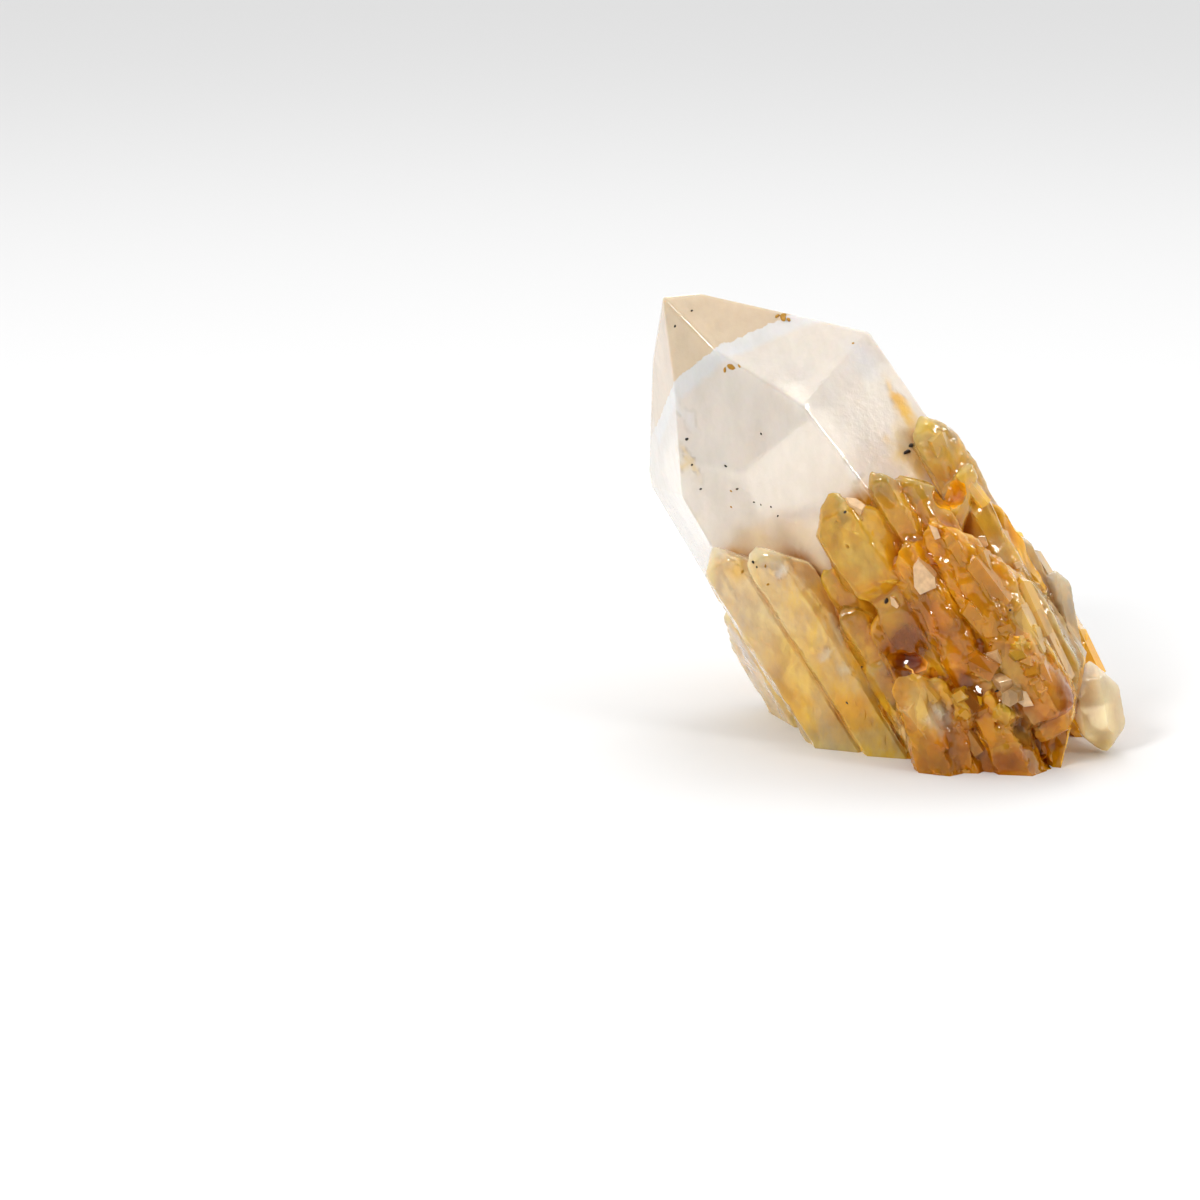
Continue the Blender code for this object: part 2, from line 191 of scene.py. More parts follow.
# A side crystal's faces, each a point and the way it looks
def sideFaces(crystal):
    group, tip, radius, length, habit = crystal
    own = {**sideHabit, **habit}
    tip = Vector(tip) + standShift
    along = leaningAxis(own)
    toBack = (Vector((0, 1, 0)) - along * along.y).normalized()
    toRight = toBack.cross(along).normalized()
    middle = tip + toRight * own["right"] + toBack * own["back"]
    tilt = math.radians(own["pointTilt"])
    faces, levels = [], []
    for i in range(6):
        around = math.radians(own["turn"] + 60 * i)
        level = toRight * math.cos(around) + toBack * math.sin(around)
        reach = radius * math.hypot(math.cos(around), own["thick"] * math.sin(around))
        reach += own["sunk"] if level.dot(toBack) > own["hidden"] else 0
        faces.append((middle + level * reach, level))
        levels.append(level)
    ends = [(tip, along)]
    if own["twoEnds"]:
        ends.append((middle - along * length, -along))
    else:
        faces.append((tip - along * length, -along))
    for end, out in ends:
        for i, level in enumerate(levels):
            way = level * math.sin(tilt) + out * math.cos(tilt)
            faces.append((end + way * (own["smallFace"] * radius if i % 2 else 0), way))
    return faces


def backCrystals():
    picks = random.Random(backHabit["seed"])
    first, last = backHabit["turns"]
    low, high = backHabit["heights"]
    rings, perRing, shift, lean = (backHabit[k] for k in ("rings", "perRing", "tipShift", "lean"))
    crystals = []
    for ring in range(rings):
        for place in range(perRing):
            step = place + 0.5 * (ring % 2) + picks.uniform(-0.2, 0.2)
            around = first + (last - first) * step / (perRing - 0.5)
            radius = picks.uniform(*backHabit["radius"])
            skin = min(distance / math.cos(math.radians(around - turn))
                       for turn, tilt, distance in clearPoint["prism"] if math.cos(math.radians(around - turn)) > 0.3)
            out = skin + picks.uniform(*backHabit["proud"]) - radius
            up = low + (high - low) * (ring + 0.5) / rings + picks.uniform(-shift, shift)
            tip = clearPoint["heart"] - standShift + levelWay(around) * out + growthAxis * up
            crystals.append(("back", tuple(tip), radius, picks.uniform(*backHabit["length"]), dict(
                turn=picks.uniform(0, 60), lean=picks.uniform(-lean, lean), nod=picks.uniform(-lean, lean),
                thick=picks.uniform(0.9, 1.2), right=0.0, back=0.0, sunk=0.0)))
    return crystals


# A wider copy of each crystal that starts lower down, so that its sides have a ledge
def ledgesOf(crystals):
    picks = random.Random(ledgeHabit["seed"])
    wider = []
    for group, tip, radius, length, habit in crystals:
        down = length * picks.uniform(*ledgeHabit["from"])
        lower = tuple(Vector(tip) - leaningAxis(habit) * down)
        wider.append((group, lower, radius + picks.uniform(*ledgeHabit["proud"]), length - down, habit))
    return wider


def nestCrystals():
    picks = random.Random(nestHabit["seed"])
    crystals = []
    for i in range(nestHabit["count"]):
        place = Vector(nestHabit["middle"]) + Vector([picks.uniform(-s, s) for s in nestHabit["spread"]])
        radius = picks.uniform(*nestHabit["radius"])
        length = picks.uniform(*nestHabit["length"])
        turn = picks.uniform(0, 60)
        lean = picks.uniform(-nestHabit["lean"], nestHabit["lean"]) + nestHabit["lean"] / 2
        crystals.append(("nest", tuple(place), radius, length, dict(
            turn=turn, lean=lean, nod=picks.uniform(*nestHabit["nod"]), right=0.0, back=0.3, sunk=0.0)))
    return crystals


def allCrystals():
    crystals = [(group, *entry) for group in sideCrystals if group != "glassy" for entry in sideCrystals[group]]
    crystals += backCrystals()
    crystals += ledgesOf([one for one in crystals if one[0] != "blade" and not one[4].get("twoEnds")])
    return crystals + nestCrystals() + [("glassy", *entry) for entry in sideCrystals["glassy"]]


# Tells each face of the solid which crystal it belongs to: 0 is the clear one, -1 the broken root
def crystalOfFaces(mesh, crystals):
    middles = np.array([face.calc_center_median() for face in mesh.faces])
    looks = np.array([face.normal for face in mesh.faces])
    best = np.full(len(middles), 1e9)
    owner = np.zeros(len(middles), int)
    for number, faces in enumerate([clearFaces()] + [sideFaces(crystal) for crystal in crystals]):
        ways = np.array([way for point, way in faces])
        reach = middles @ ways.T - np.array([way.dot(point) for point, way in faces])
        nearest = reach.argmax(1)
        miss = np.abs(reach.max(1)) + 0.5 * (1 - (looks * ways[nearest]).sum(1))
        closer = miss < best
        best[closer] = miss[closer]
        owner[closer] = number
    owner[best > 0.05] = -1
    return owner


# How fine the mesh of each kind of crystal is, how often it is smoothed as if by wear and overgrowth, and
# how high its relief stands and how wide its small faces are, in mm
skinHabit = {
    "fine": {"clear": 0.8, "blade": 0.7, "honey": 0.6, "straw": 0.7, "amber": 0.6, "slim": 0.6, "foot": 0.55,
             "nest": 0.4, "glassy": 0.7, "back": 1.3, "broken": 1.1},
    "wear": {"clear": 0, "blade": 3, "honey": 3, "straw": 4, "amber": 6, "slim": 2, "foot": 4,
             "nest": 2, "glassy": 1, "back": 2, "broken": 3},
    "relief": {"clear": 0.0, "blade": 0.45, "honey": 0.45, "straw": 0.5, "amber": 1.0, "slim": 0.2, "foot": 0.9,
               "nest": 0.9, "glassy": 0.08, "back": 0.5, "broken": 0.9},
    "facet": {"clear": 4.0, "blade": 3.4, "honey": 2.8, "straw": 2.6, "amber": 2.4, "slim": 3.0, "foot": 1.8,
              "nest": 1.2, "glassy": 4.0, "back": 3.0, "broken": 2.6},
    "stretch": 0.4,      # the small faces are this much shorter across the growth axis than along it
    "flat": 0.004,       # radians between faces that are one face
}


def kindOf(number, crystals):
    return "broken" if number < 0 else "clear" if number == 0 else crystals[number - 1][0]


def cleanSkin(crystals):
    mesh = bmesh.new()
    mesh.from_mesh(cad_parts[stoneNode].data)
    bmesh.ops.scale(mesh, vec=(1 / mm,) * 3, verts=mesh.verts[:])
    bmesh.ops.remove_doubles(mesh, verts=mesh.verts[:], dist=0.002)
    mesh.normal_update()
    owner = crystalOfFaces(mesh, crystals)
    layer = mesh.faces.layers.int.new("crystal")
    for face, number in zip(mesh.faces, owner):
        face[layer] = int(number)
    bmesh.ops.dissolve_limit(mesh, angle_limit=skinHabit["flat"], verts=mesh.verts[:], edges=mesh.edges[:],
                             delimit={"NORMAL"})
    mesh.normal_update()
    return mesh, layer


# The clear crystal's edges are worn round, but for those that end at a shorter one than this
def roundClearEdges(mesh, layer, shortest=0.5):
    def clearEdges():
        return [edge for edge in mesh.edges if len(edge.link_faces) == 2 and edge.is_convex
                and edge.calc_face_angle(0) > math.radians(8)
                and all(face[layer] == 0 for face in edge.link_faces)]
    bmesh.ops.collapse(mesh, edges=[edge for edge in clearEdges() if edge.calc_length() < shortest])
    mesh.normal_update()
    own = [edge for edge in clearEdges()
           if min(near.calc_length() for v in edge.verts for near in v.link_edges) > shortest]
    bmesh.ops.bevel(mesh, geom=own, offset=clearPoint["edgeRound"], segments=2, profile=0.5, affect="EDGES",
                    clamp_overlap=False)


def refineSkin(mesh, layer, crystals):
    roundClearEdges(mesh, layer)
    bmesh.ops.triangulate(mesh, faces=mesh.faces[:])
    for turn in range(7):
        long = [edge for edge in mesh.edges if edge.calc_length() > 1.35 * min(
            skinHabit["fine"][kindOf(face[layer], crystals)] for face in edge.link_faces)]
        if not long:
            break
        bmesh.ops.subdivide_edges(mesh, edges=long, cuts=1)
        bmesh.ops.triangulate(mesh, faces=[face for face in mesh.faces if len(face.verts) > 3])


# The same mesh with its places and faces in an order that stays the same from run to run
def inOrder(mesh, layer):
    ranked = sorted(mesh.verts, key=lambda v: tuple(v.co))
    for number, v in enumerate(ranked):
        v.index = number
    rings = []
    for face in mesh.faces:
        ring = [v.index for v in face.verts]
        first = ring.index(min(ring))
        rings.append((ring[first:] + ring[:first], face[layer]))
    rings.sort()
    data = bpy.data.meshes.new("ordered")
    data.from_pydata([v.co for v in ranked], [], [ring for ring, number in rings])
    data.attributes.new("crystal", "INT", "FACE").data.foreach_set("value", [number for ring, number in rings])
    mesh.clear()
    mesh.from_mesh(data)
    bpy.data.meshes.remove(data)
    return mesh.faces.layers.int["crystal"]


def habitOf(v, name, layer, crystals):
    values = [skinHabit[name][kindOf(face[layer], crystals)] for face in v.link_faces]
    return 0 if min(values) == 0 else sum(values) / len(values)


def wearSkin(mesh, layer, crystals):
    passes = [(v, habitOf(v, "wear", layer, crystals)) for v in mesh.verts]
    for turn in range(max(skinHabit["wear"].values())):
        places = []
        for v, wear in passes:
            if wear > turn and v.co.z > 0.02:
                mean = sum((edge.other_vert(v).co for edge in v.link_edges), Vector()) / len(v.link_edges)
                places.append((v, v.co.lerp(mean, 0.5)))
        for v, place in places:
            v.co = place


# Small tilted faces, as crystals have that grew side by side: each place lies on the plane of its
# nearest seed
def smallFace(place, size):
    along = place.dot(growthAxis)
    squeezed = (place - growthAxis * along * (1 - skinHabit["stretch"])) / size
    squeezed += noise.noise_vector(squeezed * 0.9) * 0.3
    distances, seeds = noise.voronoi(squeezed)
    tilt = noise.cell_vector(seeds[0] * 37.7) - Vector((0.5, 0.5, 0.5))
    gap = min((distances[1] - distances[0]) / 0.12, 1)
    return tilt.dot(squeezed - seeds[0]) * 2 * gap + (tilt.x - 0.1) * 0.5


def raiseRelief(mesh, layer, crystals):
    mesh.normal_update()
    moves = []
    for v in mesh.verts:
        height = habitOf(v, "relief", layer, crystals)
        if height == 0 or v.co.z < 0.02:
            continue
        facet = smallFace(v.co, habitOf(v, "facet", layer, crystals))
        hills = noise.noise(v.co * 0.3) + 0.4 * noise.noise(v.co * 1.1 + Vector((7, 3, 1)))
        moves.append((v, v.normal * height * (0.5 * hills + 0.6 * facet - 0.1)))
    for v, move in moves:
        v.co += move
    low, high = (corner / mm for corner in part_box(stoneNode))
    for v in mesh.verts:
        v.co = Vector([min(max(c, l), h) for c, l, h in zip(v.co, low, high)])


# Writes onto the skin: a number for each crystal, how far down it a place is, its stain, and how clear it is
growthLooks = {
    "stain": {"clear": 0.0, "blade": 0.27, "honey": 0.5, "straw": 0.42, "amber": 0.72, "slim": 0.22, "foot": 0.70,
              "nest": 0.55, "glassy": 0.14, "back": 0.47, "broken": 0.8},
    "clarity": {"clear": 0.48, "blade": 0.54, "honey": 0.70, "straw": 0.66, "amber": 0.58, "slim": 0.66, "foot": 0.54,
                "nest": 0.6, "glassy": 0.6, "back": 0.4, "broken": 0.3},
}


def writeGrowth(data, crystals):
    picks = random.Random(8)
    luck = [picks.random() for i in range(len(crystals) + 2)]
    numbers = [item.value for item in data.attributes["crystal"].data]
    growth = data.attributes.new("growth", "FLOAT_COLOR", "CORNER")
    tips = [(Vector(tip) + standShift, leaningAxis(habit), length) for group, tip, radius, length, habit in crystals]
    for face in data.polygons:
        number = numbers[face.index]
        kind = kindOf(number, crystals)
        for corner in face.loop_indices:
            rise = 0.0
            if number > 0:
                tip, along, length = tips[number - 1]
                place = data.vertices[data.loops[corner].vertex_index].co / mm
                rise = min(max((tip - place).dot(along) / length, 0), 1)
            growth.data[corner].color = (luck[number + 1], rise, growthLooks["stain"][kind],
                                         growthLooks["clarity"][kind])


# The way from the camera through a pixel of the photograph
def photoRay(u, v):
    scale = photoView["sensor"] / photoView["frame"] / photoView["lens"]
    across, down = (u - photoView["frame"] / 2) * scale, (v - photoView["frame"] / 2) * scale
    tilt = math.radians(photoView["down"])
    way = Vector((across, math.cos(tilt) - down * math.sin(tilt), -math.sin(tilt) - down * math.cos(tilt)))
    return way.normalized()


# Where a pixel of the photograph falls on the skin, and the way the skin looks there
def photoPoint(skin, u, v):
    place, look, face, reach = skin.ray_cast(photoView["place"], photoRay(u, v))
    return place, look


# Stains and veils on the skin, with painted shade and painted highlights among them: pixel of the middle,
# half width and half length in mm along the growth, colour, strength
stainAndLightPatches = (
    # Painted shade: this patch darkens the left facet of the clear crystal
    ((655, 350), (2.4, 4.0), "#D6C6B0", 0.9),    # clear crystal
    ((654, 450), (2.6, 8.0), "#E0DCD4", 0.85),
    ((672, 525), (2.4, 5.0), "#E4DFD6", 0.8),
    ((690, 548), (2.0, 3.5), "#EDEBE6", 0.8),
    # Near-white patches: painted highlights on the clear crystal
    ((862, 362), (2.6, 3.6), "#FCFCFB", 0.85),
    ((853, 472), (1.5, 1.3), "#FFFFFF", 0.8),
    ((685, 415), (0.8, 2.6), "#FDFDFC", 0.7),
    ((760, 545), (8.0, 4.5), "#F2E2CA", 0.6),
    ((687, 462), (0.6, 3.4), "#D9C097", 0.8),
    ((897, 398), (0.7, 2.8), "#D79E34", 0.9),
    ((905, 412), (1.2, 1.0), "#D9A238", 0.9),
    ((887, 442), (0.8, 0.8), "#DCB062", 0.8),
    ((730, 565), (4.5, 3.0), "#D8B888", 0.8),    # blades
    ((742, 572), (1.8, 1.4), "#C99A3C", 0.6),
    ((765, 615), (3.5, 6.0), "#EBD2A2", 0.8),
    # A painted highlight on a blade
    ((782, 572), (1.5, 0.9), "#FFF8EA", 0.9),
    ((800, 665), (4.0, 6.5), "#E6BC6C", 0.8),
    ((735, 625), (1.5, 5.0), "#D6A850", 0.7),
    ((790, 700), (2.5, 5.0), "#D89E38", 0.8),
    ((850, 715), (4.5, 4.0), "#CF9028", 0.85),
    ((827, 652), (1.2, 1.2), "#F4E6C8", 0.8),
    ((843, 672), (1.1, 1.1), "#F1E0BC", 0.8),
    ((860, 740), (4.0, 1.6), "#DFB46E", 0.8),
    ((850, 540), (5.0, 7.0), "#E2AE36", 0.9),    # honey crystal
    ((862, 562), (2.6, 3.4), "#EEC860", 0.8),
    ((820, 512), (1.2, 2.6), "#B98A38", 0.7),
    ((842, 505), (1.4, 1.8), "#E9CE8A", 0.7),
    ((834, 560), (1.0, 4.0), "#E3A51C", 0.7),
    ((878, 492), (2.0, 4.0), "#D9B060", 0.8),    # twins
    ((895, 520), (1.8, 5.0), "#CB9220", 0.8),
    ((925, 450), (4.0, 5.0), "#F8D080", 0.9),    # straw crystal
    ((912, 424), (1.8, 1.8), "#DDAA34", 0.8),
    ((955, 455), (2.0, 5.0), "#EAB848", 0.8),
    ((990, 520), (2.6, 4.0), "#D99E26", 0.8),
    ((945, 560), (6.0, 8.0), "#CF8604", 0.95),   # amber mass
    ((980, 545), (3.5, 6.0), "#D48E0C", 0.9),
    ((985, 590), (4.5, 7.0), "#CC8408", 0.9),
    ((1035, 620), (3.5, 8.0), "#DDAC5C", 0.9),
    ((1030, 560), (3.0, 3.5), "#D9A040", 0.8),
    ((870, 620), (3.0, 6.0), "#C58410", 0.9),
    ((850, 600), (2.5, 3.5), "#D1962A", 0.8),
    ((925, 620), (4.0, 5.0), "#A86000", 0.9),
    ((905, 645), (4.4, 3.4), "#7E4000", 0.95),
    ((905, 668), (3.2, 2.0), "#703400", 0.9),
    ((965, 640), (2.4, 6.0), "#B36C04", 0.9),
    ((968, 684), (1.6, 2.4), "#7C3C00", 0.9),
    ((925, 705), (3.4, 4.5), "#D8AE62", 0.85),   # thumb
    ((942, 722), (1.8, 3.2), "#EBD9BC", 0.85),
    ((905, 735), (2.0, 3.4), "#E2C49A", 0.8),
    ((890, 690), (1.4, 3.0), "#C88E2C", 0.8),
    ((1000, 672), (4.0, 3.4), "#EDB04C", 0.85),  # nest
    ((1010, 690), (2.0, 1.6), "#F8DCAA", 0.8),
    ((1040, 690), (3.0, 4.0), "#C8862A", 0.85),
    ((960, 745), (3.6, 4.4), "#B66A04", 0.9),    # foot
    ((1000, 765), (6.0, 2.2), "#A85A00", 0.9),
    ((1025, 725), (3.4, 4.0), "#B98C4C", 0.85),
    ((1075, 730), (2.6, 2.6), "#BE8420", 0.85),
    ((1065, 625), (1.6, 6.0), "#E4C594", 0.8),   # slim crystal
    ((1100, 705), (4.2, 6.0), "#E4CDA8", 0.85),  # glassy foot
)


# Stains are painted this much lighter than they look, for the shade between the crystals
stainGlow = {"times": 1.5, "most": 0.94, "golden": 0.15}


# Paints the patches onto the skin: stains, and painted shade and painted highlights among them
def writeStainsAndLight(data, skin):
    places = np.array([v.co for v in data.vertices]) / mm
    ragged = np.array([noise.noise_vector(Vector(p) * 0.45) * 1.3 + noise.noise_vector(Vector(p) * 1.4) * 0.5
                       for p in places])
    places = places + ragged
    turn = np.array(Matrix.Rotation(math.atan2(-growthAxis.x, growthAxis.z), 3, "Y"))
    colours, strengths = np.zeros((len(places), 3)), np.zeros(len(places))
    for (u, v), (across, along), colour, strength in stainAndLightPatches:
        middle, look = photoPoint(skin, u, v)
        if middle is None:
            print("stain misses the stone at", u, v)
            continue
        reach = (places - np.array(middle) / mm) @ turn.T / (across, max(across, along), along)
        share = np.clip((1.25 - np.linalg.norm(reach, axis=1)) / 0.75, 0, 1) ** 1.5 * strength
        own = np.array(linearColour(colour)[:3])
        own[1] *= 1 + stainGlow["golden"] * (1 - own[2] / own[0]) ** 3
        own *= min(stainGlow["times"], stainGlow["most"] / own.max())
        colours += (own - colours) * (share / np.maximum(
            strengths + share - strengths * share, 1e-6))[:, None]
        strengths += share - strengths * share
    stainsAndLight = data.attributes.new("stainsAndLight", "FLOAT_COLOR", "POINT")
    stainsAndLight.data.foreach_set("color", np.column_stack([colours, strengths]).ravel())


# Writes onto the skin how hollow (red) or how sharp (green) each place is
creviceHabit = {"passes": 4, "gain": 9.0}


def writeCrevices(data):
    count = len(data.vertices)
    places, looks, ends = np.zeros(count * 3), np.zeros(count * 3), np.zeros(len(data.edges) * 2, int)
    data.vertices.foreach_get("co", places)
    data.vertices.foreach_get("normal", looks)
    data.edges.foreach_get("vertices", ends)
    places, looks, ends = places.reshape(-1, 3) / mm, looks.reshape(-1, 3), ends.reshape(-1, 2)
    near = np.maximum(np.bincount(ends.ravel(), minlength=count), 1)

    def meanOfNear(values):
        total = np.zeros_like(values)
        np.add.at(total, ends[:, 0], values[ends[:, 1]])
        np.add.at(total, ends[:, 1], values[ends[:, 0]])
        return total / (near if values.ndim == 1 else near[:, None])
    hollow = ((meanOfNear(places) - places) * looks).sum(1)
    for turn in range(creviceHabit["passes"]):
        hollow = 0.4 * hollow + 0.6 * meanOfNear(hollow)
    hollow *= creviceHabit["gain"]
    colours = np.zeros((count, 4))
    colours[:, 0], colours[:, 1] = np.clip(hollow, 0, 1), np.clip(-hollow, 0, 1)
    data.attributes.new("crevices", "FLOAT_COLOR", "POINT").data.foreach_set("color", colours.ravel())


# How thickly small crystals grow on each kind of crystal, and where the crushed ones lie: pixel, reach in mm
druseHabit = {
    "share": {"amber": 1.0, "straw": 0.2, "foot": 0.3, "back": 0.5, "broken": 0.1},
    "crushed": ((1005, 672), 5.5),
    "bare": ((1058, 725), 8.5),      # nor here
    "floorGap": 1.5,     # none grow lower than this, mm
}


def writeDruse(data, crystals, skin):
    numbers = [item.value for item in data.attributes["crystal"].data]
    share = np.full(len(data.vertices), 9.0)
    for face in data.polygons:
        own = druseHabit["share"].get(kindOf(numbers[face.index], crystals), 0)
        for v in face.vertices:
            share[v] = min(share[v], own)
    places = np.array([v.co for v in data.vertices]) / mm
    share[places[:, 2] < druseHabit["floorGap"]] = 0
    (u, v), reach = druseHabit["crushed"]
    middle = np.array(photoPoint(skin, u, v)[0]) / mm
    near = np.clip(1.4 - np.linalg.norm(places - middle, axis=1) / reach, 0, 1)
    (u, v), reach = druseHabit["bare"]
    bare = np.array(photoPoint(skin, u, v)[0]) / mm
    share[np.linalg.norm(places - bare, axis=1) < reach] = 0
    clouds = np.array([noise.noise(Vector(p) * 0.35) for p in places])
    data.attributes.new("druse", "FLOAT", "POINT").data.foreach_set("value", share * np.clip(0.5 + 1.2 * clouds, 0, 1)
                                                                   * (1 - near))
    data.attributes.new("crushed", "FLOAT", "POINT").data.foreach_set("value", near)


def stoneSkin():
    crystals = allCrystals()
    mesh, layer = cleanSkin(crystals)
    refineSkin(mesh, layer, crystals)
    layer = inOrder(mesh, layer)
    wearSkin(mesh, layer, crystals)
    raiseRelief(mesh, layer, crystals)
    bmesh.ops.scale(mesh, vec=(mm,) * 3, verts=mesh.verts[:])
    data = bpy.data.meshes.new("quartz")
    mesh.to_mesh(data)
    mesh.free()
    data.shade_smooth()
    data.set_sharp_from_angle(angle=math.radians(32))
    writeGrowth(data, crystals)
    writeCrevices(data)
    skin = BVHTree.FromPolygons([v.co for v in data.vertices], [face.vertices for face in data.polygons])
    writeStainsAndLight(data, skin)
    writeDruse(data, crystals, skin)
    return data, skin


# Rock crystal: glass-clear quartz, milky with veils inside and stained by iron oxide, with polished growth
# faces over a blurred inside. Stain patches, some of them painted shade and painted highlights, are (pixel, half widths
# in mm, colour, strength).
# A pale band runs round the clear point, with a beige tip above it: partly a frosted band where growth stopped
# for a while, partly painted light and shade from reflections inside the crystal. Given are three pixels on its
# upper edge, how thick it is, and the colours above, in and below it
frostAndReflectionBand = {"pixels": ((776, 322), (714, 349), (676, 381)), "thick": 2.0, "above": "#EAD7BA", "band": "#F5F7F7",
              "below": "#F8F0E6", "ragged": 0.35}


# The plane through three pixels, looking up the crystal: a point and the way it looks
def photoPlane(skin, pixels):
    a, b, c = [photoPoint(skin, u, v)[0] for u, v in pixels]
    way = (b - a).cross(c - a).normalized()
    return a, way if way.dot(growthAxis) > 0 else -way


stainRamp = ((0.0, "#FBF3E6"), (0.22, "#F9DCA6"), (0.45, "#F9C642"), (0.68, "#F4AE08"), (0.85, "#DE8C00"),
             (1.0, "#AC5A00"))


# The clear crystal's colours: the band and the beige tip, partly painted light and shade from inside the crystal
def clearColours(tree, place, clouds, fine, plane):
    point, way = plane
    above = addNode(tree, "ShaderNodeVectorMath", {"operation": "DOT_PRODUCT"}, {1: way}, {0: place}).outputs["Value"]
    ragged = addNode(tree, "ShaderNodeMath", {"operation": "MULTIPLY_ADD"}, {1: frostAndReflectionBand["ragged"] * 4 * mm},
                     {0: fine, 2: above}).outputs[0]
    thick = frostAndReflectionBand["thick"] * mm
    edge = point.dot(way) + frostAndReflectionBand["ragged"] * 2 * mm
    span = addNode(tree, "ShaderNodeMapRange", values={"From Min": edge - 3 * thick, "From Max": edge + thick},
                   links={"Value": ragged})
    bands = addNode(tree, "ShaderNodeValToRGB", links={"Fac": span.outputs[0]})
    stops = ((0.0, "below"), (0.42, "below"), (0.53, "band"), (0.745, "band"), (0.765, "above"), (1.0, "above"))
    while len(bands.color_ramp.elements) < len(stops):
        bands.color_ramp.elements.new(0.5)
    for element, (position, part) in zip(bands.color_ramp.elements, stops):
        element.position, element.color = position, linearColour(frostAndReflectionBand[part])
    return bands.outputs["Color"]


